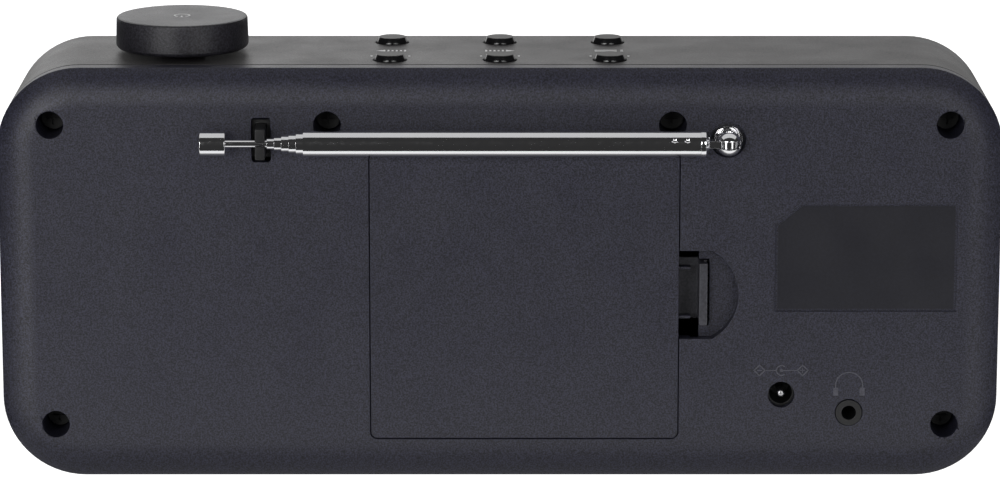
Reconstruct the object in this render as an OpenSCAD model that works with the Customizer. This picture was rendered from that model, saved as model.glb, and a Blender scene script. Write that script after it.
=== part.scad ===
// Tabletop radio, seen from the back: +X is the listener's right, the front faces -Y,
// the back and its telescopic antenna face +Y, and +Z is up.
// The origin is the middle of the whole radio's box, on the surface that the feet stand on.
// All sizes are in millimetres.

/* [Body] */
// Width of the body
body_w = 250; // [235:1:300]
// Height of the body without its feet
body_h = 104.5; // [100:0.5:130]
// Depth of the housing sleeve, from the front edge to the seam of the rear cover
sleeve_d = 41; // [38:0.5:60]
// Radius of the body's four corners
corner_r = 20.5; // [16:0.5:26]
// Wall of the housing and of the rear cover's rim
wall = 2.5; // [2:0.1:3]
// Height that the feet lift the body
foot_h = 1.5; // [1:0.1:4]
// Diameter of a foot
foot_d = 11; // [8:0.5:14]

/* [Rear cover] */
// Width of the rim that continues the sleeve
rim_w = 4; // [3:0.1:6]
// Open seam between the sleeve and the rim
seam_gap = 0.5; // [0.2:0.05:1]
// How far the back stands out behind the rim
bulge = 4; // [2:0.1:6]
// Width of the rounded edge of the back
edge_w = 9.5; // [6:0.5:10]
// Thickness of the rear cover's plate
plate_t = 2.4; // [2:0.1:3]
// Radius of a screw well
well_r = 3.4; // [3:0.1:4]
// Distance of the corner wells from the body's sides
well_inset = 13.5; // [12:0.5:16]
// Mean distance of the wells from the body's top and bottom
well_drop = 14; // [12:0.5:16]
// Distance of the two middle wells from the centre
mid_well_x = 42.8; // [42:0.1:46]
// Depth of the well down to the face that meets the housing's post
well_d = 14; // [12:0.5:16]

/* [Antenna] */
// Distance of the stowed antenna below the top of the body
antenna_drop = 17.5; // [15:0.5:20]
// Distance of the stowed antenna's axis behind the back
antenna_off = 4.5; // [4:0.1:6]
// Position of the swivel from the body's centre
swivel_x = -56.5; // [-62:0.5:-55]
// Outer radius of the outermost tube
tube_r = 3.25; // [3.1:0.05:3.6]
// Length of the outermost tube
tube_len = 98; // [90:1:110]
// Travel of each telescopic stage
stage_travel = 78; // [60:1:78]
// Radial clearance between one stage and the next
stage_fit = 0.05; // [0.03:0.01:0.1]

/* [Battery bay] */
// Width of the door
door_w = 77; // [74:0.5:84]
// Height of the door
door_h = 73; // [70:0.5:78]
// Thickness of the door
door_t = 2; // [1.6:0.1:2]
// Distance of the door's lower edge above the bottom of the body
door_lift = 10.6; // [9:0.1:14]
// Position of the door's centre
door_x = -6.1; // [-8:0.1:-5]
// Gap around the door
door_gap = 0.2; // [0.15:0.05:0.4]
// Diameter that is left for one cell (AA)
cell_d = 15; // [14.8:0.1:15.4]
// Length that is left for one cell and its contacts
cell_l = 61; // [58:0.5:62]
// Number of cells, one above the other
cell_n = 4; // [4:1:4]
// Wall of the battery box
box_wall = 1.6; // [1.2:0.1:2]

/* [Top controls] */
// Diameter of the knob at its foot
knob_d = 33.4; // [28:0.1:38]
// Height of the knob
knob_h = 8; // [6.5:0.1:12]
// Gap between the knob and the top
knob_gap = 1.1; // [1:0.1:2.5]
// Position of the knob from the body's centre
knob_x = 80.2; // [70:0.1:88]
// Distance of the knob's axis from the front edge
knob_y = 22; // [18:0.5:26]
// Diameter of a button at its foot
button_d = 8; // [7:0.1:9.4]
// Height of a button above the top
button_h = 1.5; // [1.2:0.1:3]
// Travel of a button
button_travel = 0.6; // [0.3:0.05:0.7]
// Spacing of the button columns
button_pitch = 27.5; // [20:0.5:30]
// Distance of the front row of buttons from the front edge
button_front = 9.4; // [8.6:0.1:12]
// Distance of the rear row of buttons from the seam of the rear cover
button_rear = 6.8; // [6.6:0.1:10]

/* [Front] */
// Thickness of the perforated grille
grille_t = 1; // [0.8:0.1:1.4]
// How far the grille sits behind the front edge
grille_set = 0.5; // [0.3:0.1:2]
// Thickness of the baffle behind the grille
baffle_t = 2; // [1.6:0.1:2]
// Distance of each loudspeaker from the centre
speaker_x = 80; // [78:0.5:84]
// Height of the loudspeakers above the bottom of the body
speaker_z = 50; // [46:0.5:56]
// Width of a loudspeaker's square flange
speaker_w = 57; // [50:0.5:58]
// Width of the display window
window_w = 72; // [60:1:74]
// Height of the display window
window_h = 42; // [30:1:50]

/* [Jacks] */
// Bore radius of the 3.5 mm headphone jack
phones_r = 1.8; // [1.75:0.01:1.85]
// Bore radius of the DC socket for a 5.5 mm plug
dc_r = 2.85; // [2.8:0.01:2.95]
// Radius of the DC socket's centre pin
dc_pin_r = 1.0; // [0.9:0.05:1.05]

/* [Hidden] */
$fn = 64;

black = [0.16, 0.16, 0.18];
dark = [0.10, 0.10, 0.11];
chrome = [0.80, 0.80, 0.82];
steel = [0.62, 0.62, 0.64];
board_green = [0.10, 0.30, 0.18];

// planes along Y, from the front edge to the back of the antenna
total_d = sleeve_d + seam_gap + rim_w + bulge + antenna_off + tube_r;
y_front = -total_d / 2;
y_grille = y_front + grille_set;
y_baffle = y_grille + grille_t;
y_inner = y_baffle + baffle_t;
y_seam = y_front + sleeve_d;
y_rim = y_seam + seam_gap + rim_w;
y_back = y_rim + bulge;
y_plate = y_back - plate_t;
y_antenna = y_back + antenna_off;
y_post = y_back - well_d;

// heights
z_bottom = foot_h;
z_top = foot_h + body_h;
z_mid = foot_h + body_h / 2;
z_roof = z_top - wall;
z_antenna = z_top - antenna_drop;
z_speaker = z_bottom + speaker_z;
z_window = z_bottom + 55;

// the rounded edge of the back is an arc that ends level with the flat of the back
edge_arc = (edge_w * edge_w + bulge * bulge) / (2 * bulge);

// screw wells and posts
well_rise = 0.25;
screw_places = concat(
    [for (sx = [-1, 1], sz = [-1, 1])
        [sx * (body_w / 2 - well_inset), z_mid + well_rise + sz * (body_h / 2 - well_drop)]],
    [for (sx = [-1, 1]) [sx * mid_well_x, z_top + well_rise - well_drop]]);
post_r = 4.5;
pilot_r = 1.3;
screw_r = 1.28;
screw_hole_r = 1.7;
well_wall = 1.5;
well_floor = 2;

// tongue of the rear cover that fits inside the sleeve
tongue_l = 1.2;
tongue_w = 1.5;

// feet
foot_in = 1;
foot_x = body_w / 2 - corner_r - 14;
foot_ys = [y_front + 9, y_seam - 9];

// battery door and bay
door_z = z_bottom + door_lift + door_h / 2;
door_r = 1.6;
hook_x = door_x + door_w / 2 + door_gap;
bay_w = cell_l;
bay_h = cell_n * cell_d;
bay_d = cell_d + 1;
pad_w = 3;
pad_t = 1.6;
y_pad = y_plate - pad_t;
y_bay = y_pad - bay_d;
hook_zs = [-22, 22];
hook_w = 8;
flap = 5;
hook_swing = 0.9;

// finger recess beside the door, a rectangle ended by an arc
latch_h = 22.5;
latch_reach = 14.7;
latch_arc = 13;
latch_x = door_x - door_w / 2 - door_gap;
latch_z = door_z + 0.5;
latch_bar_x = latch_x - 4.9;
latch_bar_t = 2.1;
latch_floor_x = latch_bar_x - latch_bar_t - 0.5;
latch_deep = 3.2;
latch_floor_t = 1.6;
latch_w = 15.8;
latch_arm_deep = 9.2;
catch_deep = 8;
catch_t = 1.2;

// clip for the stowed antenna
clip_x = swivel_x + 115.7;
clip_w = 4.7;
clip_h = 11.1;
clip_arm = 2.5;

// telescopic antenna: outer radii of the stages and where each one ends
stage_r = [tube_r, 2.8, 2.4, 2.1, 1.7, 1.4];
stage_wall = [0.4, 0.35, 0.25, 0.35, 0.25, 0.4];
tube_x0 = swivel_x + 7;
tube_x1 = tube_x0 + tube_len;
stage_step = 1.8;
stage_keep = 8.5;
stage_start = tube_x1 - stage_travel - stage_keep;
rod_r = stage_r[5] - stage_wall[5] - stage_fit;
rod_x1 = clip_x + 8.5;
tip_r = 3.1;
tip_l = 6.4;
foot_r = 3.3;
flange_r = 3.55;
flange_deep = 1.9;
flange_room = 0.85;
stem_r = 2.6;
ball_r = 3.1;
tongue_t = 1.7;
pin_r = 0.9;

// controls
knob_c = [knob_x, y_front + knob_y];
knob_z = z_top + knob_gap;
button_flange = 0.6;
button_ys = [y_front + button_front, y_seam - button_rear];
board_z = z_roof - 7;
board_t = 1.6;
switch_h = 3.5;
stem_in = 0.6;
bush_r = 3.5;
bush_h = 4;
knob_push = 0.5;
knob_hub = bush_h + knob_push + 0.25 - knob_gap;
shaft_r = 2.95;

// main board
board_y = y_inner + 10;
board_w = 92;
board_zs = [z_bottom + 12, z_bottom + 84];
board_post_x = board_w / 2 - 4;
board_post_zs = [board_zs[0] + 4, board_zs[1] - 4];

// jacks
dc_x = -70.5;
dc_z = z_bottom + 21.9;
phones_x = -87.5;
phones_z = z_bottom + 17.3;
jack_d = 11;
jack_board_y = y_plate - jack_d - board_t;

// speakers
cone_r = speaker_w / 2 - 4;
basket_t = 1.2;
gasket_t = 0.8;
y_basket = y_inner + gasket_t;
basket_d = 12;
cap_arc = 10.4;
cap_deep = 13;
magnet_r = 16;
magnet_t = 10;
speaker_screw = speaker_w / 2 - 4;

// ---------- shared shapes ----------

// extrudes a drawing of the XZ plane from y0 to y1
module along_y(y0, y1) translate([0, y1, 0]) rotate([90, 0, 0]) linear_extrude(y1 - y0) children();

// round bar along Y
module bar_y(x, z, y0, y1, r) translate([x, y1, z]) rotate([90, 0, 0]) cylinder(h = y1 - y0, r = r);

// round bar along X
module bar_x(x0, x1, y, z, r) translate([x0, y, z]) rotate([0, 90, 0]) cylinder(h = x1 - x0, r = r);

// rectangle with round corners, made of pieces that meet edge to edge
module rounded_rect(w, h, r) {
    square([w - 2 * r, h], center = true);
    for (s = [-1, 1]) translate([s * (w - r) / 2, 0]) square([r, h - 2 * r], center = true);
    for (sx = [-1, 1], sy = [-1, 1]) translate([sx * (w / 2 - r), sy * (h / 2 - r)])
        intersection() {
            circle(r);
            translate([sx > 0 ? 0 : -r, sy > 0 ? 0 : -r]) square(r);
        }
}

// outline of the body, moved inwards
module body_outline(inset) translate([0, z_mid])
    rounded_rect(body_w - 2 * inset, body_h - 2 * inset, corner_r - inset);

// section through the rounded edge of the back: u outwards, v backwards
module edge_section(r) intersection() {
    translate([r - edge_w, bulge - edge_arc]) circle(edge_arc);
    translate([r - edge_w, 0]) square([edge_w, bulge]);
}

// the raised back with its rounded edge, standing on the plane y
module raised_back(inset, y) {
    w = body_w - 2 * inset;
    h = body_h - 2 * inset;
    r = corner_r - inset;
    along_y(y, y + bulge) translate([0, z_mid])
        rounded_rect(w - 2 * edge_w, h - 2 * edge_w, r - edge_w);
    translate([0, y, z_mid]) {
        for (side = [[0, w, h], [180, w, h], [90, h, w], [-90, h, w]])
            rotate([0, side[0], 0]) translate([side[1] / 2 - r, 0, r - side[2] / 2])
                linear_extrude(side[2] - 2 * r) edge_section(r);
        for (corner = [[1, 1, 270], [1, -1, 0], [-1, -1, 90], [-1, 1, 180]])
            translate([corner[0] * (w / 2 - r), 0, corner[1] * (h / 2 - r)])
                rotate([-90, 0, 0]) rotate([0, 0, corner[2]])
                    rotate_extrude(angle = 90) edge_section(r);
    }
}

// D-shaped outline of the finger recess, grown by g
module latch_outline(g) intersection() {
    translate([latch_x - latch_reach + latch_arc, latch_z]) circle(latch_arc + g);
    translate([latch_x - latch_reach - g, latch_z - latch_h / 2 - g])
        square([latch_reach + g, latch_h + 2 * g]);
}

// pan-head screw along Y whose head ends at y; the shank points to -Y
module screw_y(x, z, y, l, r, head_r, head_h) difference() {
    union() {
        bar_y(x, z, y - head_h, y, head_r);
        bar_y(x, z, y - head_h - l, y - head_h, r);
    }
    for (a = [0, 90]) translate([x, y, z]) rotate([0, a, 0]) cube([head_r * 1.2, 1.2, 0.5], center = true);
}

// wire through a list of points, as one closed tube
function unit(v) = v / norm(v);
function side_of(t) = abs(t[2]) < 0.9 ? unit(cross(t, [0, 0, 1])) : unit(cross(t, [1, 0, 0]));
module wire(path, r, sides = 8) {
    n = len(path);
    tangents = [for (i = [0 : n - 1]) unit(path[min(i + 1, n - 1)] - path[max(i - 1, 0)])];
    rings = [for (i = [0 : n - 1], k = [0 : sides - 1])
        let (u = side_of(tangents[i]), v = cross(tangents[i], u), a = 360 * k / sides)
            path[i] + r * (cos(a) * u + sin(a) * v)];
    walls = [for (i = [0 : n - 2], k = [0 : sides - 1])
        [i * sides + k, i * sides + (k + 1) % sides, (i + 1) * sides + (k + 1) % sides, (i + 1) * sides + k]];
    ends = [[for (k = [sides - 1 : -1 : 0]) k], [for (k = [0 : sides - 1]) (n - 1) * sides + k]];
    polyhedron(points = rings, faces = concat(walls, ends), convexity = 6);
}

// points on a smooth cubic curve that starts at a going to b and ends at d coming from c
function curve(a, b, c, d, n) = [for (i = [0 : n]) let (t = i / n, s = 1 - t)
    s * s * s * a + 3 * s * s * t * b + 3 * s * t * t * c + t * t * t * d];

// ---------- housing ----------

module main_housing() color(black) difference() {
    union() {
        along_y(y_front, y_seam) difference() {
            body_outline(0);
            body_outline(wall);
        }
        along_y(y_baffle, y_inner) difference() {
            body_outline(wall / 2);
            for (s = [-1, 1]) translate([s * speaker_x, z_speaker]) circle(cone_r - 1);
            translate([0, z_window]) square([window_w - 6, window_h - 6], center = true);
        }
        for (p = screw_places) bar_y(p[0], p[1], y_inner - 0.5, y_post, post_r);
        for (s = [-1, 1], z = board_post_zs)
            bar_y(s * board_post_x, z, y_inner - 0.5, board_y, 3);
        for (s = [-1, 1]) translate([s * 33, y_front + knob_y, board_z]) cylinder(h = z_roof - board_z + 0.5, r = 2.4);
    }
    for (p = screw_places) bar_y(p[0], p[1], y_post - 11, y_post + 1, pilot_r);
    for (s = [-1, 1], z = board_post_zs) bar_y(s * board_post_x, z, board_y - 7, board_y + 1, 1);
    for (s = [-1, 1]) translate([s * 33, y_front + knob_y, board_z - 1]) cylinder(h = 6, r = 1);
    for (s = [-1, 1], a = [-1, 1], b = [-1, 1])
        bar_y(s * speaker_x + a * speaker_screw, z_speaker + b * speaker_screw, y_baffle - 1, y_inner + 1, 1);
    for (column = [-1 : 1], row = [0, 1])
        translate([column * button_pitch, button_ys[row], z_roof - 1])
            cylinder(h = wall + 2, r = button_d / 2 + 0.25);
    translate([knob_c[0], knob_c[1], z_roof - 1]) cylinder(h = wall + 2, r = bush_r + 0.1);
    for (s = [-1, 1], y = foot_ys) translate([s * foot_x, y, z_bottom - 1]) cylinder(h = 1 + foot_in, r = foot_d / 2 + 0.05);
}

module front_grille() color([0.13, 0.13, 0.14]) along_y(y_grille, y_baffle) difference() {
    body_outline(wall + 0.15);
    translate([0, z_window]) square([window_w + 0.3, window_h + 0.3], center = true);
    for (s = [-1, 1], row = [-10 : 10])
        let (z = row * 2.6, half = sqrt(29 * 29 - z * z))
            translate([s * speaker_x, z_speaker + z]) {
                square([2 * half - 1.2, 1.2], center = true);
                for (e = [-1, 1]) translate([e * (half - 0.6), 0]) circle(0.6);
            }
}

module display_window() color([0.05, 0.06, 0.08]) along_y(y_grille, y_baffle)
    translate([0, z_window]) rounded_rect(window_w, window_h, 1);

module display_module() color([0.25, 0.28, 0.30]) difference() {
    along_y(y_inner + 0.1, y_inner + 5) translate([0, z_window]) square([window_w - 3, window_h - 2], center = true);
    along_y(y_inner - 1, y_inner + 0.6) translate([0, z_window]) square([window_w - 12, window_h - 12], center = true);
}

module rubber_feet() color([0.07, 0.07, 0.07]) for (s = [-1, 1], y = foot_ys)
    translate([s * foot_x, y, 0]) {
        cylinder(h = 0.6, r1 = foot_d / 2 - 0.6, r2 = foot_d / 2);
        translate([0, 0, 0.6]) cylinder(h = foot_h + foot_in - 0.6, r = foot_d / 2);
    }

// ---------- rear cover ----------

module rear_cover() color(black) difference() {
    union() {
        difference() {
            union() {
                along_y(y_seam + seam_gap, y_rim) body_outline(0);
                raised_back(0, y_rim);
                along_y(y_seam - tongue_l, y_seam + seam_gap) body_outline(wall + 0.15);
            }
            along_y(y_seam - tongue_l - 1, y_rim - plate_t) body_outline(wall + tongue_w);
            raised_back(wall, y_rim - plate_t);
        }
        for (p = screw_places) bar_y(p[0], p[1], y_post, y_plate + 0.5, well_r + well_wall);
        along_y(y_pad, y_plate + 0.5) translate([door_x, door_z])
            square([door_w + 2 * pad_w, door_h + 2 * pad_w], center = true);
        intersection() {
            along_y(y_back - latch_deep - latch_floor_t, y_plate + 0.5) latch_outline(1.5);
            translate([latch_bar_x - 20, y_pad - 10, z_bottom]) cube([20, 30, body_h]);
        }
        bar_y(swivel_x, z_antenna, y_plate - 2, y_plate + 0.5, 7);
    }
    for (p = screw_places) {
        bar_y(p[0], p[1], y_post + well_floor, y_back + 1, well_r);
        bar_y(p[0], p[1], y_post - 1, y_post + well_floor + 1, screw_hole_r);
    }
    along_y(y_back - door_t - 0.05, y_back + 1) translate([door_x, door_z])
        rounded_rect(door_w + 2 * door_gap, door_h + 2 * door_gap, door_r + door_gap);
    along_y(y_pad - 1, y_back + 1) translate([door_x, door_z]) square([bay_w, bay_h], center = true);
    for (z = hook_zs) translate([hook_x - flap - hook_swing, y_pad - 1, door_z + z - hook_w / 2 - 0.5]) {
        cube([flap + hook_swing + 2.6, y_plate - y_pad + 1, hook_w + 1]);
        cube([flap + hook_swing - 0.8, y_back - y_pad, hook_w + 1]);
    }
    along_y(y_pad - 1, y_back + 1) translate([latch_x + 2, latch_z]) square([4, latch_w + 5.5], center = true);
    along_y(y_back - latch_deep, y_back + 1) latch_outline(0);
    // the floor of the recess ends at the latch's bar and leaves its spring arm room
    along_y(y_pad - 5, y_back + 1) intersection() {
        latch_outline(0);
        union() {
            translate([latch_bar_x, z_bottom]) square([20, body_h]);
            translate([latch_floor_x, latch_z - latch_w / 2 - 0.6]) square([20, latch_w + 1.2]);
        }
    }
    label_pocket(0, y_back - 0.5, y_back + 1);
    along_y(y_pad - 1, y_back + 1) translate([clip_x, z_antenna]) rounded_rect(clip_w, clip_h, 0.8);
    bar_y(swivel_x, z_antenna, y_plate - 3, y_back + 1, foot_r + 0.05);
    bar_y(swivel_x, z_antenna, y_back - flange_deep - 0.1, y_back + 1, flange_r + flange_room);
    bar_y(dc_x, dc_z, y_plate - 1, y_back + 1, dc_r + 0.45);
    bar_y(phones_x, phones_z, y_plate - 1, y_back + 1, 3.4);
}

// shallow field for the rating label, with its upper outer corner cut off, shrunk by g
module label_pocket(g, y0, y1) along_y(y0, y1) translate([-91.2, z_bottom + 57.1])
    polygon([[-22.6 + g, -13.7 + g], [22.6 - g, -13.7 + g], [22.6 - g, 8.7 - g],
        [16.6 - g, 13.7 - g], [-22.6 + g, 13.7 - g]]);

module rating_label() color([0.12, 0.12, 0.13]) label_pocket(0.6, y_back - 0.5, y_back - 0.35);

module rear_cover_screws() color(steel) for (p = screw_places)
    screw_y(p[0], p[1], y_post + well_floor + 2, 10, screw_r, 2.8, 2);

// two springy arms that hold the stowed antenna's rod
module antenna_clip() color(dark) difference() {
    union() {
        along_y(y_plate - 1.3, y_plate - 0.05) translate([clip_x, z_antenna])
            square([clip_w + 5, clip_h - 1.5], center = true);
        for (s = [-1, 1]) {
            translate([clip_x - clip_arm / 2, y_plate - 0.3, z_antenna + (s > 0 ? 0.55 : -3.85)])
                cube([clip_arm, antenna_off + plate_t + 1.6 + 0.3, 3.3]);
        }
    }
    bar_x(clip_x - 5, clip_x + 5, y_antenna, z_antenna, rod_r + 0.05);
}

// ---------- battery bay ----------

module battery_box() color(dark) difference() {
    union() {
        along_y(y_bay - box_wall, y_pad) translate([door_x, door_z])
            square([bay_w + 2 * box_wall, bay_h + 2 * box_wall], center = true);
        along_y(y_pad - 1.8, y_pad) translate([door_x, door_z])
            square([bay_w - 14, bay_h + 2 * box_wall + 9], center = true);
    }
    along_y(y_bay, y_pad + 1) translate([door_x, door_z]) square([bay_w, bay_h], center = true);
    for (sx = [-1, 1], sz = [-1, 1])
        bar_y(door_x + sx * 18, door_z + sz * (bay_h / 2 + 4), y_pad - 3, y_pad + 1, 1.1);
    // the latch's arm and the door's catch stay clear of the box when the door is narrow
    translate([latch_x - 10, y_back - latch_arm_deep - 0.3, latch_z - latch_w / 2 - 0.4])
        cube([10 + door_gap + catch_t + 0.25, latch_arm_deep, latch_w + 0.8]);
}

module battery_box_screws() color(steel) for (sx = [-1, 1], sz = [-1, 1])
    translate([door_x + sx * 18, y_pad - 1.8, door_z + sz * (bay_h / 2 + 4)]) rotate([90, 0, 0])
        cylinder(h = 1.4, r = 2);

module battery_door() color(black) difference() {
    union() {
        along_y(y_back - door_t, y_back) translate([door_x, door_z]) rounded_rect(door_w, door_h, door_r);
        for (z = hook_zs) {
            translate([hook_x - flap + 0.6, y_plate - 1.5, door_z + z - hook_w / 2]) cube([flap + 0.8, 1.2, hook_w]);
            translate([hook_x - flap + 0.6, y_plate - 1.5, door_z + z - hook_w / 2])
                cube([2.2, plate_t - door_t + 1.6, hook_w]);
        }
        translate([latch_x + door_gap, y_back - catch_deep, latch_z - latch_w / 2])
            cube([catch_t, catch_deep - door_t / 2, latch_w]);
        for (z = [-6.3, 6.3])
            translate([latch_x - 2.9, y_back - 5.2, latch_z + z - 0.4]) cube([3.5, 2.6, 0.8]);
    }
}

// thumb latch on a U-shaped spring arm
module door_latch() color(dark) {
    z0 = latch_z - latch_w / 2;
    translate([latch_bar_x - latch_bar_t, y_back - 3, z0]) cube([latch_bar_t, 2.6, latch_w]);
    translate([latch_bar_x - 1.3, y_back - latch_arm_deep, z0]) cube([1.3, 7, latch_w]);
    translate([latch_bar_x - 1.3, y_back - latch_arm_deep, z0]) cube([7.6, 1.1, latch_w]);
    translate([latch_bar_x - 2.2, y_back - 6.4, z0]) cube([1.2, 1.4, latch_w]);
}

// conical coil springs for the cells' flat ends
spring_turns = 4;
spring_steps = 12;
function spring_point(i, s) = let (t = i / (spring_turns * spring_steps))
    [s * t * 6.5, (4.2 - 1.6 * t) * cos(360 * i / spring_steps), (4.2 - 1.6 * t) * sin(360 * i / spring_steps)];
module battery_springs() color(chrome) for (k = [0 : cell_n - 1])
    let (s = k % 2 == 0 ? 1 : -1)
        translate([door_x - s * (bay_w / 2 - 1.0), y_bay + cell_d / 2, door_z + (k - (cell_n - 1) / 2) * cell_d])
            wire([for (i = [0 : spring_turns * spring_steps]) spring_point(i, s)], 0.35, 6);

module battery_contacts() color(chrome) for (k = [0 : cell_n - 1], e = [-1, 1])
    translate([door_x + e * (bay_w / 2 - 0.3), y_bay + cell_d / 2, door_z + (k - (cell_n - 1) / 2) * cell_d]) {
        cube([0.5, cell_d - 3, cell_d - 4], center = true);
        if ((k % 2 == 0) == (e > 0)) translate([-e * 0.2, 0, 0]) rotate([0, -e * 90, 0]) cylinder(h = 1.2, r = 3);
    }

// ---------- antenna ----------

// swivelling foot with a round head, slotted for the elbow's tongue
module antenna_base() color(chrome) difference() {
    union() {
        bar_y(swivel_x, z_antenna, y_plate - 2.2, y_back - 0.8, foot_r);
        bar_y(swivel_x, z_antenna, y_back - flange_deep, y_back - 0.4, flange_r);
        bar_y(swivel_x, z_antenna, y_back - 0.5, y_antenna - 0.5, stem_r);
        translate([swivel_x, y_antenna, z_antenna]) sphere(ball_r);
    }
    translate([swivel_x - 2.75, y_antenna - 2.75, z_antenna - tongue_t / 2 - 0.1]) cube([10, 10, tongue_t + 0.2]);
    translate([swivel_x, y_antenna, z_antenna - 5]) cylinder(h = 10, r = pin_r + 0.02);
    bar_y(swivel_x, z_antenna, y_plate - 3, y_plate + 3, 1.5);
}

module antenna_washer() color(steel) difference() {
    union() {
        bar_y(swivel_x, z_antenna, y_plate - 3.1, y_plate - 2.25, 5.6);
        translate([swivel_x, y_plate - 3.1, z_antenna - 8.5]) cube([3, 0.85, 5]);
    }
    bar_y(swivel_x, z_antenna, y_plate - 4, y_plate - 2, 1.52);
}

module antenna_screw() color(steel) difference() {
    union() {
        bar_y(swivel_x, z_antenna, y_plate - 4.9, y_plate - 3.15, 3);
        bar_y(swivel_x, z_antenna, y_plate - 3.2, y_plate + 2.5, 1.48);
    }
    for (a = [0, 90]) translate([swivel_x, y_plate - 4.9, z_antenna]) rotate([0, a, 0]) cube([3.4, 1.2, 0.5], center = true);
}

module antenna_pin() color(steel) translate([swivel_x, y_antenna, z_antenna - ball_r + 0.4])
    cylinder(h = 2 * ball_r - 0.8, r = pin_r);

// end piece of the outermost tube, with the flat tongue that turns on the pin
module antenna_elbow() color(chrome) difference() {
    union() {
        bar_x(tube_x0, tube_x0 + 9, y_antenna, z_antenna, tube_r - stage_wall[0] - 0.02);
        bar_x(tube_x0 - 1.3, tube_x0, y_antenna, z_antenna, tube_r + 0.12);
        translate([tube_x0 - 2.1, y_antenna, z_antenna]) rotate([0, 90, 0]) cylinder(h = 0.9, r1 = 1.7, r2 = 2.6);
        translate([swivel_x, y_antenna, z_antenna - tongue_t / 2]) {
            cylinder(h = tongue_t, r = 2.45);
            translate([0, -1.5, 0]) cube([tube_x0 - 2 - swivel_x, 3, tongue_t]);
        }
    }
    translate([swivel_x, y_antenna, z_antenna - 5]) cylinder(h = 10, r = pin_r + 0.05);
}

// one telescopic stage: k counts from the outermost tube
function stage_x0(k) = k == 0 ? tube_x0 : stage_start + k * 0.6;
function stage_x1(k) = tube_x1 + k * stage_step;
module stage(k) color(chrome) difference() {
    bar_x(stage_x0(k), stage_x1(k), y_antenna, z_antenna, stage_r[k]);
    bar_x(stage_x0(k) - 1, stage_x1(k) + 1, y_antenna, z_antenna, stage_r[k] - stage_wall[k]);
}

module antenna_tube_1() difference() {
    stage(0);
    // crimped dimples over the elbow's plug
    color(chrome) for (x = [3.3, 6.5], a = [25, 145, 265])
        translate([tube_x0 + x, y_antenna, z_antenna]) rotate([a, 0, 0])
            translate([0, tube_r + 0.6, 0]) sphere(0.95);
}
module antenna_tube_2() stage(1);
module antenna_tube_3() stage(2);
module antenna_tube_4() stage(3);
module antenna_tube_5() stage(4);
module antenna_tube_6() stage(5);

module antenna_rod() color(chrome) bar_x(stage_start + 4, rod_x1 + 3, y_antenna, z_antenna, rod_r);

module antenna_tip() color(chrome) difference() {
    bar_x(rod_x1, rod_x1 + tip_l, y_antenna, z_antenna, tip_r);
    bar_x(rod_x1 - 1, rod_x1 + 3.05, y_antenna, z_antenna, rod_r + 0.01);
}

// ---------- knob ----------

module volume_knob() color(dark) translate([knob_c[0], knob_c[1], knob_z]) difference() {
    union() {
        cylinder(h = 0.8, r1 = knob_d / 2 - 0.8, r2 = knob_d / 2);
        translate([0, 0, 0.8]) cylinder(h = knob_h - 1.2, r1 = knob_d / 2, r2 = knob_d / 2 - 0.2);
        translate([0, 0, knob_h - 0.4]) cylinder(h = 0.4, r1 = knob_d / 2 - 0.2, r2 = knob_d / 2 - 0.6);
    }
    translate([0, 0, -1]) difference() {
        cylinder(h = knob_h - 0.8, r = knob_d / 2 - 3);
        translate([0, 0, knob_hub + 1]) cylinder(h = knob_h, r = 5);
    }
    translate([0, 0, -1]) cylinder(h = knob_h - 1.2, r = shaft_r + 0.02);
}

module encoder_shaft() color(steel) translate([knob_c[0], knob_c[1], 0]) {
    translate([0, 0, z_roof - 1.1]) cylinder(h = knob_z + knob_h - 2.3 - z_roof + 1.1, r = shaft_r);
    translate([0, 0, z_roof - 4.3]) intersection() {
        cylinder(h = 3.4, r = 2);
        translate([-1.2, -3, 0]) cube([6, 6, 4]);
    }
}

module encoder_rotor() color([0.85, 0.85, 0.82]) translate([knob_c[0], knob_c[1], z_roof - 4]) difference() {
    cylinder(h = 2.2, r = 4.7);
    translate([0, 0, -1]) intersection() {
        cylinder(h = 5, r = 2.05);
        translate([-1.25, -3, 0]) cube([6, 6, 5]);
    }
}

module encoder_body() color(steel) translate([knob_c[0], knob_c[1], 0]) difference() {
    union() {
        translate([-6, -6, z_roof - 6.5]) cube([12, 12, 6.5]);
        translate([0, 0, z_roof - 0.5]) cylinder(h = wall + 0.5 + bush_h, r = bush_r);
    }
    translate([0, 0, z_roof - 5]) cylinder(h = 3.5, r = 5);
    translate([0, 0, z_roof - 2]) cylinder(h = wall + 10, r = shaft_r + 0.05);
}

module encoder_nut() color(chrome) translate([knob_c[0], knob_c[1], z_top]) difference() {
    cylinder(h = 2, r = 5.8, $fn = 6);
    translate([0, 0, -1]) cylinder(h = 4, r = bush_r + 0.02);
}

// ---------- buttons ----------

// domed cap with a retaining flange under the roof and a stem into its switch
module button(column, row) color(dark)
    translate([column * button_pitch, button_ys[row], 0]) {
        translate([0, 0, z_top]) cylinder(h = button_h, r1 = button_d / 2, r2 = button_d / 2 - 0.6);
        translate([0, 0, z_roof - 0.2]) cylinder(h = wall + 0.2, r = button_d / 2);
        translate([0, 0, z_roof - 1.1]) cylinder(h = 0.95, r = button_d / 2 + button_flange);
        translate([0, 0, board_z + switch_h - stem_in])
            cylinder(h = z_roof - 1 - board_z - switch_h + stem_in, r = 1);
    }
module menu_button() button(-1, 0);
module info_button() button(0, 0);
module preset_button() button(1, 0);
module mode_button() button(-1, 1);
module tune_up_button() button(0, 1);
module tune_down_button() button(1, 1);

module switch_board() color(board_green) difference() {
    translate([-36, button_ys[0] - 4.2, board_z - board_t]) cube([72, button_ys[1] - button_ys[0] + 8.4, board_t]);
    for (s = [-1, 1]) translate([s * 33, y_front + knob_y, board_z - 3]) cylinder(h = 6, r = 1.2);
}

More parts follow.
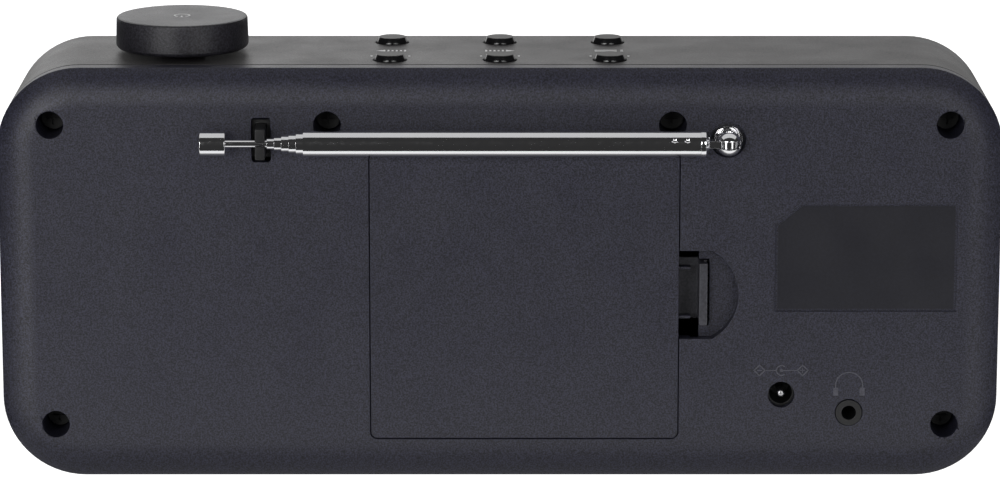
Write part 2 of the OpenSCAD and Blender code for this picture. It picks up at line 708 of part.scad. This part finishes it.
module tact_switches() color([0.2, 0.2, 0.2]) for (column = [-1 : 1], row = [0, 1])
    translate([column * button_pitch, button_ys[row], board_z]) difference() {
        translate([-3, -3, 0]) cube([6, 6, switch_h]);
        translate([0, 0, switch_h - stem_in - button_travel - 0.4]) cylinder(h = 3, r = 1.1);
    }

// ---------- electronics ----------

module main_board() color(board_green) difference() {
    along_y(board_y, board_y + board_t) translate([-board_w / 2, board_zs[0]])
        square([board_w, board_zs[1] - board_zs[0]]);
    for (s = [-1, 1], z = board_post_zs) bar_y(s * board_post_x, z, board_y - 1, board_y + 3, 1.2);
}

module tuner_module() color(steel) translate([-30, board_y + board_t, z_bottom + 54])
    difference() {
        cube([34, 6, 24]);
        translate([0.6, -1, 0.6]) cube([32.8, 6.4, 22.8]);
    }

module capacitors() color([0.15, 0.2, 0.4]) for (x = [14, 26], z = [20, 33])
    bar_y(x, z_bottom + z, board_y + board_t, board_y + board_t + 10, 4);

module heat_sink() color([0.7, 0.7, 0.72]) translate([-34, board_y + board_t, z_bottom + 20]) {
    cube([24, 2, 16]);
    for (k = [0 : 5]) translate([k * 4.56, 0, 0]) cube([1.2, 9, 16]);
}

module board_screws() color(steel) {
    for (s = [-1, 1], z = board_post_zs) screw_y(s * board_post_x, z, board_y + board_t + 1.4, 7, 0.98, 2.2, 1.4);
    for (s = [-1, 1]) translate([s * 33, y_front + knob_y, board_z - board_t]) {
        translate([0, 0, -1.4]) cylinder(h = 1.4, r = 2.2);
        cylinder(h = 6, r = 0.98);
    }
}

module jack_board() color(board_green) along_y(jack_board_y, jack_board_y + board_t)
    translate([-98, z_bottom + 9]) square([36, 22]);

module dc_jack() color(dark) difference() {
    along_y(y_plate - jack_d, y_plate - 0.1) translate([dc_x, dc_z - 0.5]) square([9, 11], center = true);
    bar_y(dc_x, dc_z, y_plate - 9.5, y_plate + 1, dc_r);
}
module dc_jack_pin() color(steel) bar_y(dc_x, dc_z, y_plate - 9.5, y_plate + 1.2, dc_pin_r);

module headphone_jack() color(dark) difference() {
    union() {
        along_y(y_plate - jack_d, y_plate - 0.1) translate([phones_x, phones_z]) square([11, 10], center = true);
        bar_y(phones_x, phones_z, y_plate - 1, y_back + 0.3, 3.3);
    }
    bar_y(phones_x, phones_z, y_plate - jack_d + 1, y_back + 1, phones_r);
}

// ---------- loudspeakers ----------

module speaker_basket(x) color(steel) translate([x, y_basket, z_speaker]) {
    rotate([-90, 0, 0]) {
        linear_extrude(basket_t) difference() {
            rounded_rect(speaker_w, speaker_w, 6);
            circle(cone_r);
            for (a = [-1, 1], b = [-1, 1]) translate([a, b] * speaker_screw) circle(1.2);
        }
        translate([0, 0, basket_t]) difference() {
            cylinder(h = basket_d, r1 = cone_r + 1.2, r2 = magnet_r);
            translate([0, 0, -0.01]) cylinder(h = basket_d - 1.5, r1 = cone_r, r2 = magnet_r - 1.2);
            for (a = [0 : 90 : 270]) rotate([0, 0, a + 45]) translate([magnet_r + 0.5, -6, 2]) cube([12, 12, basket_d - 5]);
            cylinder(h = 50, r = 8);
        }
    }
}
module speaker_magnet(x) color([0.2, 0.2, 0.22]) difference() {
    bar_y(x, z_speaker, y_basket + basket_t + basket_d, y_basket + basket_t + basket_d + magnet_t, magnet_r);
    bar_y(x, z_speaker, y_basket, y_basket + basket_t + basket_d + magnet_t - 3, 7);
}
module speaker_cone(x) color([0.12, 0.12, 0.12]) translate([x, y_basket + 0.2, z_speaker]) rotate([-90, 0, 0])
    rotate_extrude() polygon(concat(
        [for (a = [0 : 10 : 60]) [cap_arc * sin(a), cap_deep - cap_arc * cos(a)]],
        [[cone_r - 4.5, 0.9]],
        [for (a = [170 : -20 : 10]) [cone_r - 2.4 + 2 * cos(a), 0.7 - 0.55 * sin(a)]],
        [[cone_r - 0.15, 0.6], [cone_r - 0.15, 1.1], [cone_r - 4.4, 1.5], [9.4, cap_deep - 4.4]],
        [for (a = [60 : -10 : 0]) [(cap_arc - 0.5) * sin(a), cap_deep - (cap_arc - 0.5) * cos(a)]]));

module left_speaker_basket() speaker_basket(-speaker_x);
module right_speaker_basket() speaker_basket(speaker_x);
module left_speaker_magnet() speaker_magnet(-speaker_x);
module right_speaker_magnet() speaker_magnet(speaker_x);
module left_speaker_cone() speaker_cone(-speaker_x);
module right_speaker_cone() speaker_cone(speaker_x);

module speaker_gaskets() color([0.1, 0.1, 0.1]) for (s = [-1, 1])
    along_y(y_inner, y_basket) translate([s * speaker_x, z_speaker]) difference() {
        circle(cone_r + 3);
        circle(cone_r);
    }

module speaker_screws() color(steel) for (s = [-1, 1], a = [-1, 1], b = [-1, 1])
    screw_y(s * speaker_x + a * speaker_screw, z_speaker + b * speaker_screw,
        y_basket + basket_t + 1.4, gasket_t + basket_t + baffle_t - 0.4, 0.98, 2.2, 1.4);

// ---------- leads ----------

module antenna_lead() color([0.6, 0.1, 0.1])
    wire(curve([swivel_x + 1.5, y_plate - 3.6, z_antenna - 8], [swivel_x + 1.5, y_plate - 12, z_antenna - 14],
        [-40, board_y + 14, z_antenna - 20], [-28, board_y + board_t + 6.6, z_bottom + 74], 16), 0.6);

module speaker_leads() color([0.5, 0.1, 0.1]) for (s = [-1, 1])
    wire(curve([s * (speaker_x - 27), y_basket + 4, z_speaker - 18], [s * (speaker_x - 31), y_basket + 14, z_speaker - 20],
        [s * 48, board_y + 12, z_speaker - 10], [s * 40, board_y + board_t + 0.7, z_speaker - 6], 14), 0.6);

// ---------- the nodes ----------

main_housing();
front_grille();
display_window();
display_module();
rear_cover();
rear_cover_screws();
rubber_feet();
rating_label();
antenna_clip();
battery_box();
battery_box_screws();
battery_door();
door_latch();
battery_springs();
battery_contacts();
antenna_base();
antenna_washer();
antenna_screw();
antenna_elbow();
antenna_pin();
antenna_tube_1();
antenna_tube_2();
antenna_tube_3();
antenna_tube_4();
antenna_tube_5();
antenna_tube_6();
antenna_rod();
antenna_tip();
volume_knob();
encoder_shaft();
encoder_rotor();
encoder_body();
encoder_nut();
menu_button();
info_button();
preset_button();
tune_down_button();
tune_up_button();
mode_button();
switch_board();
tact_switches();
main_board();
tuner_module();
capacitors();
heat_sink();
board_screws();
dc_jack();
dc_jack_pin();
headphone_jack();
jack_board();
left_speaker_basket();
left_speaker_magnet();
left_speaker_cone();
right_speaker_basket();
right_speaker_magnet();
right_speaker_cone();
speaker_gaskets();
speaker_screws();
antenna_lead();
speaker_leads();
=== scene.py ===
"""Looks of the tabletop radio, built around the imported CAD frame.

Lengths are in metres, apart from drawings and edge widths, which are in millimetres. The camera sees the back of
the radio, which faces +Y, so the reader's left is +X.
"""
import math

import bmesh
import bpy
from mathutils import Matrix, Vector


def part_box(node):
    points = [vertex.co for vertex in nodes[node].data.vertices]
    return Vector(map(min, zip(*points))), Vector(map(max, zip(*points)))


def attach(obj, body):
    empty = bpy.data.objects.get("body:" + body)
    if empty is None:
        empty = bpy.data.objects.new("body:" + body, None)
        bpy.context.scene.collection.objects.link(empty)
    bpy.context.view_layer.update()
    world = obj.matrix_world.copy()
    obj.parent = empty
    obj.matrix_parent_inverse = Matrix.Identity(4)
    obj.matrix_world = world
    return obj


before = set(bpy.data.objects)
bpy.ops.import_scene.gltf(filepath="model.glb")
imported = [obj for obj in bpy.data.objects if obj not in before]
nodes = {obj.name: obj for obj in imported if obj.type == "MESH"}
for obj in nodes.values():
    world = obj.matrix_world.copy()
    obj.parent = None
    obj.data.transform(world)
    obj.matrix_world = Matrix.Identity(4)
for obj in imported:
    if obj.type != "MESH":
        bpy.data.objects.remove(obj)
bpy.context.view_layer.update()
scene = bpy.context.scene
MM = 0.001

body_lo, body_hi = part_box("main_housing")
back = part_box("rear_cover")[1].y
z_bottom, z_top = body_lo.z, body_hi.z


def middle(node):
    """Middle of a CAD node's box."""
    return [(low + high) / 2 for low, high in zip(*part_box(node))]


# ---------- materials ----------

def shader(name):
    """The material of that name, its node tree and its shader, emptied first."""
    m = bpy.data.materials.get(name) or bpy.data.materials.new(name)
    m.use_nodes = True
    t = m.node_tree
    t.nodes.clear()
    out = t.nodes.new("ShaderNodeOutputMaterial")
    bsdf = t.nodes.new("ShaderNodeBsdfPrincipled")
    t.links.new(bsdf.outputs["BSDF"], out.inputs["Surface"])
    return m, t, bsdf


def place(t):
    """Position in the object's own coordinates, which are the frame's."""
    return t.nodes.new("ShaderNodeTexCoord").outputs["Object"]


def noise(t, scale, detail=2.0, rough=0.5, stretch=None):
    """Noise with about scale cells to the metre, packed closer along each axis by stretch."""
    n = t.nodes.new("ShaderNodeTexNoise")
    n.inputs["Scale"].default_value = scale
    n.inputs["Detail"].default_value = detail
    n.inputs["Roughness"].default_value = rough
    if stretch:
        mapping = t.nodes.new("ShaderNodeMapping")
        mapping.inputs["Scale"].default_value = stretch
        t.links.new(place(t), mapping.inputs["Vector"])
        t.links.new(mapping.outputs["Vector"], n.inputs["Vector"])
    else:
        t.links.new(place(t), n.inputs["Vector"])
    return n.outputs["Fac"]


def spread(t, value, low, high, from_low=0.3, from_high=0.7):
    """value, taken from one range to another."""
    r = t.nodes.new("ShaderNodeMapRange")
    ends = {"From Min": from_low, "From Max": from_high, "To Min": low, "To Max": high}
    for key, end in ends.items():
        r.inputs[key].default_value = end
    t.links.new(value, r.inputs["Value"])
    return r.outputs["Result"]


def blend_colour(t, factor, a, b):
    """Colour that goes from a to b as factor goes from 0 to 1."""
    mix = t.nodes.new("ShaderNodeMix")
    mix.data_type = "RGBA"
    mix.inputs["A"].default_value = (*a, 1)
    mix.inputs["B"].default_value = (*b, 1)
    t.links.new(factor, mix.inputs["Factor"])
    return mix.outputs["Result"]


def relief(t, bsdf, height, strength, depth):
    """Bump of that height value, depth metres deep."""
    bump = t.nodes.new("ShaderNodeBump")
    bump.inputs["Strength"].default_value = strength
    bump.inputs["Distance"].default_value = depth
    t.links.new(height, bump.inputs["Height"])
    t.links.new(bump.outputs["Normal"], bsdf.inputs["Normal"])


GLOSS_VARIES = 0.04
CLOUDS = 90.0


def moulded(name, colour, rough, grain=3200.0, depth=0.00004, strength=0.5, mottle=0.08):
    """Moulded plastic, paint or paper: fine grain in relief and colour, and a cloudy gloss."""
    m, t, bsdf = shader(name)
    fine = noise(t, grain, 3.0, 0.6)
    cloud = noise(t, CLOUDS, 3.0)
    dark = tuple(c * (1 - mottle) for c in colour)
    light = tuple(c * (1 + mottle) for c in colour)
    mixed = blend_colour(t, spread(t, fine, 0, 1, 0.38, 0.62), dark, light)
    t.links.new(mixed, bsdf.inputs["Base Color"])
    t.links.new(spread(t, cloud, rough - GLOSS_VARIES, rough + GLOSS_VARIES), bsdf.inputs["Roughness"])
    relief(t, bsdf, fine, strength, depth)


def metal(name, colour, rough, streak=None, mark=0.03):
    """Bare metal with faint marks of handling: mark is how far its roughness varies."""
    m, t, bsdf = shader(name)
    bsdf.inputs["Metallic"].default_value = 1.0
    bsdf.inputs["Base Color"].default_value = (*colour, 1)
    n = noise(t, 700.0, 4.0, stretch=streak)
    t.links.new(spread(t, n, max(0.01, rough - mark), rough + mark), bsdf.inputs["Roughness"])
    relief(t, bsdf, n, 0.06, 0.00002)


# the three grained plastics of the outside: rear cover, sleeve and knob
COARSE = {"depth": 0.00008, "strength": 1.0}
moulded("cover_plastic", (0.0194, 0.0194, 0.0335), 0.43, grain=2500.0, mottle=0.8, **COARSE)
moulded("housing_plastic", (0.032, 0.029, 0.030), 0.46, grain=2200.0, mottle=0.6, **COARSE)
moulded("knob_plastic", (0.021, 0.020, 0.026), 0.42, grain=2000.0, mottle=0.7, depth=0.00009, strength=1.0)

# other plastics, rubber, paint and paper
moulded("black_plastic", (0.012, 0.012, 0.013), 0.38, depth=0.00002)
moulded("rubber", (0.015, 0.015, 0.015), 0.75, grain=1500.0)
moulded("label_film", (0.0085, 0.0085, 0.0145), 0.46, grain=1500.0, depth=0.00002, mottle=0.2)
moulded("latch_plastic", (0.048, 0.048, 0.058), 0.36, grain=1500.0, mottle=0.25)
# embossed marks: a paler tone than the cover they are moulded in, a painted highlight for the light caught by
# their raised edges
moulded("mark_painted_sheen", (0.075, 0.075, 0.095), 0.35, grain=1500.0, mottle=0.2)
moulded("rotor_plastic", (0.55, 0.52, 0.45), 0.5)
moulded("capacitor_sleeve", (0.015, 0.02, 0.05), 0.3, depth=0.00001)
moulded("ferrite", (0.03, 0.03, 0.03), 0.7, grain=900.0)
moulded("cone_paper", (0.03, 0.03, 0.032), 0.85, grain=1200.0, strength=0.8, mottle=0.25)
moulded("wire_red", (0.35, 0.02, 0.02), 0.4, depth=0.00001)
moulded("black_steel", (0.006, 0.006, 0.006), 0.55, grain=1800.0, depth=0.00001)
moulded("grille_metal", (0.020, 0.020, 0.021), 0.42, grain=2000.0, depth=0.00003, mottle=0.3)

metal("chrome", (0.88, 0.88, 0.90), 0.085)
metal("steel", (0.55, 0.55, 0.56), 0.3, mark=0.1)
metal("aluminium", (0.75, 0.75, 0.76), 0.35, streak=(1, 1, 12), mark=0.1)

# keys: matt top and glossy flank, which meet just under the top
m, t, bsdf = shader("button_plastic")
key_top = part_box("menu_button")[1].z
split = t.nodes.new("ShaderNodeSeparateXYZ")
t.links.new(place(t), split.inputs["Vector"])
topness = spread(t, split.outputs["Z"], 0, 1, key_top - 0.00012, key_top - 0.00004)
mixed = blend_colour(t, topness, (0.010, 0.010, 0.011), (0.045, 0.042, 0.041))
t.links.new(mixed, bsdf.inputs["Base Color"])
t.links.new(spread(t, topness, 0.16, 0.5, 0, 1), bsdf.inputs["Roughness"])
relief(t, bsdf, noise(t, 3200.0), 0.3, 0.00002)

# printed circuit boards: solder mask over tracks
m, t, bsdf = shader("circuit_board")
cells = t.nodes.new("ShaderNodeTexVoronoi")
cells.distance = "MANHATTAN"
cells.feature = "F1"
cells.inputs["Scale"].default_value = 260.0
t.links.new(place(t), cells.inputs["Vector"])
between_tracks = spread(t, cells.outputs["Distance"], 0, 1, 0.25, 0.3)
mixed = blend_colour(t, between_tracks, (0.01, 0.10, 0.04), (0.015, 0.16, 0.06))
t.links.new(mixed, bsdf.inputs["Base Color"])
bsdf.inputs["Roughness"].default_value = 0.35

# display: grey glass behind a clear, dark window
m, t, bsdf = shader("display")
mixed = blend_colour(t, spread(t, noise(t, 60.0), 0, 1), (0.05, 0.055, 0.06), (0.07, 0.075, 0.08))
t.links.new(mixed, bsdf.inputs["Base Color"])
bsdf.inputs["Roughness"].default_value = 0.3

m, t, bsdf = shader("window_glass")
bsdf.inputs["Base Color"].default_value = (0.16, 0.17, 0.19, 1)
bsdf.inputs["Transmission Weight"].default_value = 0.9
bsdf.inputs["IOR"].default_value = 1.49
t.links.new(spread(t, noise(t, 40.0), 0.02, 0.05), bsdf.inputs["Roughness"])

# white print on the knob and on the top of the radio
print_white, t, bsdf = shader("print_white")
mixed = blend_colour(t, spread(t, noise(t, 2500.0), 0, 1), (0.80, 0.80, 0.80), (0.92, 0.92, 0.92))
t.links.new(mixed, bsdf.inputs["Base Color"])
bsdf.inputs["Roughness"].default_value = 0.55


# ---------- edges of the CAD pieces ----------

def soften(name, width, angle=30, miter="MITER_ARC", segments=2):
    """Rounds a CAD node's edges that turn by more than angle degrees, and shades the rest smooth."""
    o = nodes[name]
    weld = o.modifiers.new("weld", "WELD")
    weld.merge_threshold = 0.000002
    flat = o.modifiers.new("flat", "DECIMATE")
    flat.decimate_type = "DISSOLVE"
    flat.angle_limit = math.radians(0.3)
    bevel = o.modifiers.new("edge", "BEVEL")
    bevel.width = width * MM
    bevel.segments = segments
    bevel.limit_method = "ANGLE"
    bevel.angle_limit = math.radians(angle)
    bevel.use_clamp_overlap = False
    bevel.miter_outer = miter
    normals = o.modifiers.new("normals", "WEIGHTED_NORMAL")
    normals.weight = 50
    o.data.shade_smooth()


# what soften takes for each node: the width, then whatever isn't as usual
EDGES = {
    "main_housing": (0.25,),
    "rear_cover": (0.2, 38, "MITER_SHARP"),
    "battery_door": (0.22,),
    "door_latch": (0.25,),
    "antenna_clip": (0.3,),
    "volume_knob": (0.3,),
    "rubber_feet": (0.3,),
    "antenna_tip": (0.25,),
    "antenna_base": (0.06, 40, "MITER_SHARP"),
    "antenna_elbow": (0.06, 40, "MITER_SHARP"),
    "antenna_pin": (0.1,),
    "headphone_jack": (0.12,),
    "dc_jack": (0.15,),
    "dc_jack_pin": (0.75, 30, "MITER_ARC", 4),
    "display_window": (0.2,),
}
EDGES.update({"antenna_tube_%d" % stage: (0.06,) for stage in range(2, 7)})
FRONT_KEYS = ("menu_button", "info_button", "preset_button")
REAR_KEYS = ("mode_button", "tune_up_button", "tune_down_button")
EDGES.update({key: (0.12,) for key in FRONT_KEYS + REAR_KEYS})

for name, options in EDGES.items():
    soften(name, *options)

# the thumb latch is a little paler than the black parts around it
for material_slot in nodes["door_latch"].material_slots:
    material_slot.material = bpy.data.materials["latch_plastic"]


# ---------- printed and embossed marks ----------

def plate(name, outlines, depth, to_world, material, body, edge=0.0):
    """One piece made of thin plates in a plane. Each outline is a closed list of (u, v)."""
    mesh = bmesh.new()
    for outline in outlines:
        low = [mesh.verts.new(to_world(u, v, 0.0)) for u, v in outline]
        high = [mesh.verts.new(to_world(u, v, depth)) for u, v in outline]
        mesh.faces.new(high)
        mesh.faces.new(low[::-1])
        for i in range(len(low)):
            j = (i + 1) % len(low)
            mesh.faces.new((low[i], low[j], high[j], high[i]))
    bmesh.ops.recalc_face_normals(mesh, faces=mesh.faces)
    data = bpy.data.meshes.new(name)
    mesh.to_mesh(data)
    mesh.free()
    o = bpy.data.objects.new(name, data)
    scene.collection.objects.link(o)
    data.materials.append(material)
    if edge:
        bevel = o.modifiers.new("edge", "BEVEL")
        bevel.width = edge * MM
        bevel.segments = 2
        bevel.limit_method = "ANGLE"
    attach(o, body)


def on_circle(r, degrees, centre=(0, 0)):
    """Point on a circle."""
    a = math.radians(degrees)
    return (centre[0] + r * math.cos(a), centre[1] + r * math.sin(a))


def ring_arc(r, w, start, end, centre=(0, 0), n=28):
    """Band of width w on a circle, less than a full turn, between two angles in degrees."""
    angles = [start + (end - start) * k / n for k in range(n + 1)]
    outer = [on_circle(r + w / 2, a, centre) for a in angles]
    inner = [on_circle(r - w / 2, a, centre) for a in angles]
    return [outer + inner[::-1]]


def stroke(a, b, w):
    """Straight bar of width w from a to b."""
    a, b = Vector(a), Vector(b)
    side = (b - a).normalized().orthogonal() * (w / 2)
    return [[tuple(a - side), tuple(b - side), tuple(b + side), tuple(a + side)]]


def frame_of(outline, w):
    """Closed line of width w along a polygon, as one bar for each side."""
    bars = []
    for i in range(len(outline)):
        a, b = Vector(outline[i]), Vector(outline[(i + 1) % len(outline)])
        along = (b - a).normalized() * (w / 2)
        bars += stroke(a - along, b + along, w)
    return bars


def on_back(x, z, sink=0.02):
    """Drawing plane on the back: u to the reader's right, v up, raised towards the reader."""
    return lambda u, v, d: Vector((x - u * MM, back + (d - sink) * MM, z + v * MM))


def on_top(x, y, z, sink=0.01):
    """Drawing plane on the top, for a reader in front of the radio."""
    return lambda u, v, d: Vector((x + u * MM, y + v * MM, z + (d - sink) * MM))


# embossed on the back: the line's width, the height of the plate and the width of its edge
LINE, EMBOSSED, SOFT = 0.28, 0.16, 0.05
# the embossed marks take the paler plastic, a painted highlight on their raised edges
mark_painted_sheen = bpy.data.materials["mark_painted_sheen"]


def emboss(name, outlines, x, z):
    plate(name, outlines, EMBOSSED, on_back(x, z), mark_painted_sheen, "radio_body", SOFT)


# polarity of the power socket: two diamonds on a line, a ring open to the reader's right, and a dot
MINUS, PLUS, SIGN = -5.5, 5.3, 0.6
DIAMOND, RING, DOT = 1.35, 1.25, 0.42
shapes = []
for u in (MINUS, PLUS):
    shapes += frame_of([(u - DIAMOND, 0), (u, -DIAMOND), (u + DIAMOND, 0), (u, DIAMOND)], LINE)
shapes += ring_arc(RING, LINE, 50, 310)
shapes += [[on_circle(DOT, a) for a in range(0, 360, 30)]]
shapes += stroke((MINUS + DIAMOND, 0), (-RING, 0), LINE * 0.8)
shapes += stroke((DOT, 0), (PLUS - DIAMOND, 0), LINE * 0.8)
shapes += stroke((MINUS - SIGN, 0), (MINUS + SIGN, 0), LINE * 0.7)
shapes += stroke((PLUS - SIGN, 0), (PLUS + SIGN, 0), LINE * 0.7)
shapes += stroke((PLUS, -SIGN), (PLUS, SIGN), LINE * 0.7)
x, _, z = middle("dc_jack_pin")
emboss("polarity_mark", shapes, x, z + 6.3 * MM)

# headphones: a band over two ear pads
shapes = ring_arc(3.4, LINE, -20, 200, centre=(0, -0.3), n=40)
for s in (-1, 1):
    shapes += [[(s * 2.7, -2.9), (s * 3.9, -2.9), (s * 3.9, -0.9), (s * 2.7, -0.9)]]
x, _, z = middle("headphone_jack")
emboss("headphone_mark", shapes, x, z + 7.3 * MM)

INK = 0.02


def print_on_top(name, outlines, x, y):
    plate(name, outlines, INK, on_top(x, y, z_top), print_white, "radio_body")


# standby symbol on the knob: an open ring and a bar
shapes = ring_arc(1.9, 0.42, -240, 60, n=40) + stroke((0, 0.7), (0, 2.6), 0.42)
x, y, _ = middle("volume_knob")
knob_top = on_top(x, y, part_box("volume_knob")[1].z)
plate("standby_mark", shapes, INK, knob_top, print_white, "knob")


def tuning(s):
    """Arrow head towards s, which is 1 or -1, and a scale of ticks behind it."""
    marks = [[(s * 3.7, 0), (s * 1.5, -1.2), (s * 1.5, 1.2)]]
    for k, tall in enumerate((2.2, 1.4, 1.8, 1.4, 2.2)):
        u = s * (0.7 - 1.05 * k)
        marks += stroke((u, -tall / 2), (u, tall / 2), 0.5)
    return marks


def menu_list():
    """Three lines of a list, each with its dot."""
    marks = []
    for v in (-0.95, 0, 0.95):
        marks += stroke((-2.0, v), (3.6, v), 0.45) + stroke((-3.6, v), (-2.9, v), 0.45)
    return marks


# pictograms midway between the two rows of keys
between_rows = (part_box(FRONT_KEYS[0])[1].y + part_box(REAR_KEYS[0])[0].y) / 2
PICTOGRAMS = {"tune_down": tuning(1), "tune_up": tuning(-1), "menu": menu_list()}
for key, shapes in PICTOGRAMS.items():
    print_on_top(key + "_mark", shapes, middle(key + "_button")[0], between_rows)

# short ticks on either side of each rear key
for key in REAR_KEYS:
    shapes = [[(s * 4.5, -0.8), (s * 5.0, -0.8), (s * 5.0, 0.2), (s * 4.5, 0.2)] for s in (-1, 1)]
    print_on_top(key.replace("button", "ticks"), shapes, middle(key)[0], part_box(key)[0].y)


# ---------- camera ----------

# square on to the back, above it, and looking down by PITCH
PITCH = math.radians(12.68)
CAMERA_Y, CAMERA_ABOVE_BOTTOM = 1.1, 0.3046

camera_data = bpy.data.cameras.new("camera")
camera = bpy.data.objects.new("camera", camera_data)
scene.collection.objects.link(camera)
scene.camera = camera
camera_data.sensor_width = 36.0
camera_data.lens = 160.04
camera.location = (0, CAMERA_Y, z_bottom + CAMERA_ABOVE_BOTTOM)
forward = Vector((0, -math.cos(PITCH), -math.sin(PITCH)))
camera.rotation_euler = forward.to_track_quat("-Z", "Y").to_euler()


# ---------- floor, room and lights ----------

def studio_paint(name, colour, glow):
    """Matt paint, colour being its greyness, that also glows white."""
    m, t, bsdf = shader(name)
    bsdf.inputs["Base Color"].default_value = (colour, colour, colour, 1)
    bsdf.inputs["Roughness"].default_value = 0.9
    bsdf.inputs["Specular IOR Level"].default_value = 0.0
    bsdf.inputs["Emission Color"].default_value = (1, 1, 1, 1)
    bsdf.inputs["Emission Strength"].default_value = glow
    return m


def studio_object(name, data, material):
    """Object that belongs to the studio, not to the radio."""
    data.materials.append(material)
    o = bpy.data.objects.new(name, data)
    scene.collection.objects.link(o)
    return o


def sheet_of(name, corners, material):
    """One flat polygon of the studio."""
    data = bpy.data.meshes.new(name)
    data.from_pydata(corners, [], [tuple(range(len(corners)))])
    return studio_object(name, data, material)


def level(x, y0, y1, z):
    """Corners of a level rectangle, from -x to x and from y0 to y1."""
    return [(-x, y0, z), (x, y0, z), (x, y1, z), (-x, y1, z)]


def seen_by(o, camera=False, glossy=False, diffuse=False):
    """Leaves o visible to the named rays only."""
    o.visible_camera = camera
    o.visible_glossy = glossy
    o.visible_diffuse = diffuse
    o.visible_transmission = False
    o.visible_shadow = False


def softbox(name, position, aim, size, radiance):
    """Rectangular lamp of that size in metres, as bright as radiance all over."""
    data = bpy.data.lights.new(name, "AREA")
    data.shape = "RECTANGLE"
    data.size, data.size_y = size
    data.energy = radiance * math.pi * size[0] * size[1]
    o = bpy.data.objects.new(name, data)
    scene.collection.objects.link(o)
    o.location = position
    o.rotation_euler = (Vector(aim) - Vector(position)).to_track_quat("-Z", "Y").to_euler()
    o.visible_camera = False


# a white floor that glows, as a light table does, but doesn't show in reflections
floor = sheet_of("floor", level(6, -6, 6, 0), studio_paint("floor_white", 0.8, 0.85))
floor.visible_glossy = False

# what shows in reflections instead: a narrow bright strip, and a dim grey card at the foot of the back, a
# painted shadow that stands in for the radio's shade on the floor
strip = sheet_of("bright_strip", level(0.6, 0.035, 0.085, 0.001), studio_paint("strip_white", 0.0, 0.9))
seen_by(strip, glossy=True)
# painted shadow: a dim sheet, seen only by reflected and bounced light, where the radio would shade the glowing
# floor
painted_shadow = sheet_of("painted_shadow_card", level(0.14, -0.04, 0.035, 0.0008), studio_paint("painted_shadow_grey", 0.03, 0.38))
seen_by(painted_shadow, glossy=True, diffuse=True)

# a white room that only the camera sees
dome_mesh = bmesh.new()
bmesh.ops.create_icosphere(dome_mesh, subdivisions=3, radius=20.0)
dome = bpy.data.meshes.new("room")
dome_mesh.to_mesh(dome)
dome_mesh.free()
room = studio_object("room", dome, studio_paint("room_white", 0.0, 1.0))
seen_by(room, camera=True)

world = bpy.data.worlds.new("studio")
scene.world = world
world.use_nodes = True
background = world.node_tree.nodes["Background"]
background.inputs["Color"].default_value = (1, 1, 1, 1)
background.inputs["Strength"].default_value = 0.03

softbox("overhead", (0, -0.75, 1.3), (0, -0.75, 0), (3.0, 2.5), 0.55)
softbox("back_left", (1.0, -2.2, 0.8), (1.0, 0, 0.8), (2.0, 1.5), 1.35)
softbox("back_right", (-1.0, -2.2, 0.8), (-1.0, 0, 0.8), (2.0, 1.5), 0.75)
softbox("left", (0.47, 1.13, 0.43), (0, 0, 0.05), (0.4, 0.45), 6.5)
softbox("right", (-0.47, 1.13, 0.43), (0, 0, 0.05), (0.4, 0.45), 3.2)

# tall panels beside the camera, which only reflections see
INNER_END, OUTER_END = (0.60, 1.15), (0.95, 0.93)
PANEL_BOTTOM, PANEL_TOP = -0.5, 0.6
for side, paint_name, glow in ((1, "panel_left", 2.7), (-1, "panel_right", 1.3)):
    ends = [(side * x, y) for x, y in (INNER_END, OUTER_END)]
    corners = [(x, y, PANEL_BOTTOM) for x, y in ends] + [(x, y, PANEL_TOP) for x, y in ends[::-1]]
    paint = studio_paint(paint_name, 0.0, glow)
    paint.cycles.emission_sampling = "NONE"
    seen_by(sheet_of("tall_panel", corners, paint), glossy=True)

scene.view_settings.view_transform = "Standard"
scene.view_settings.look = "None"
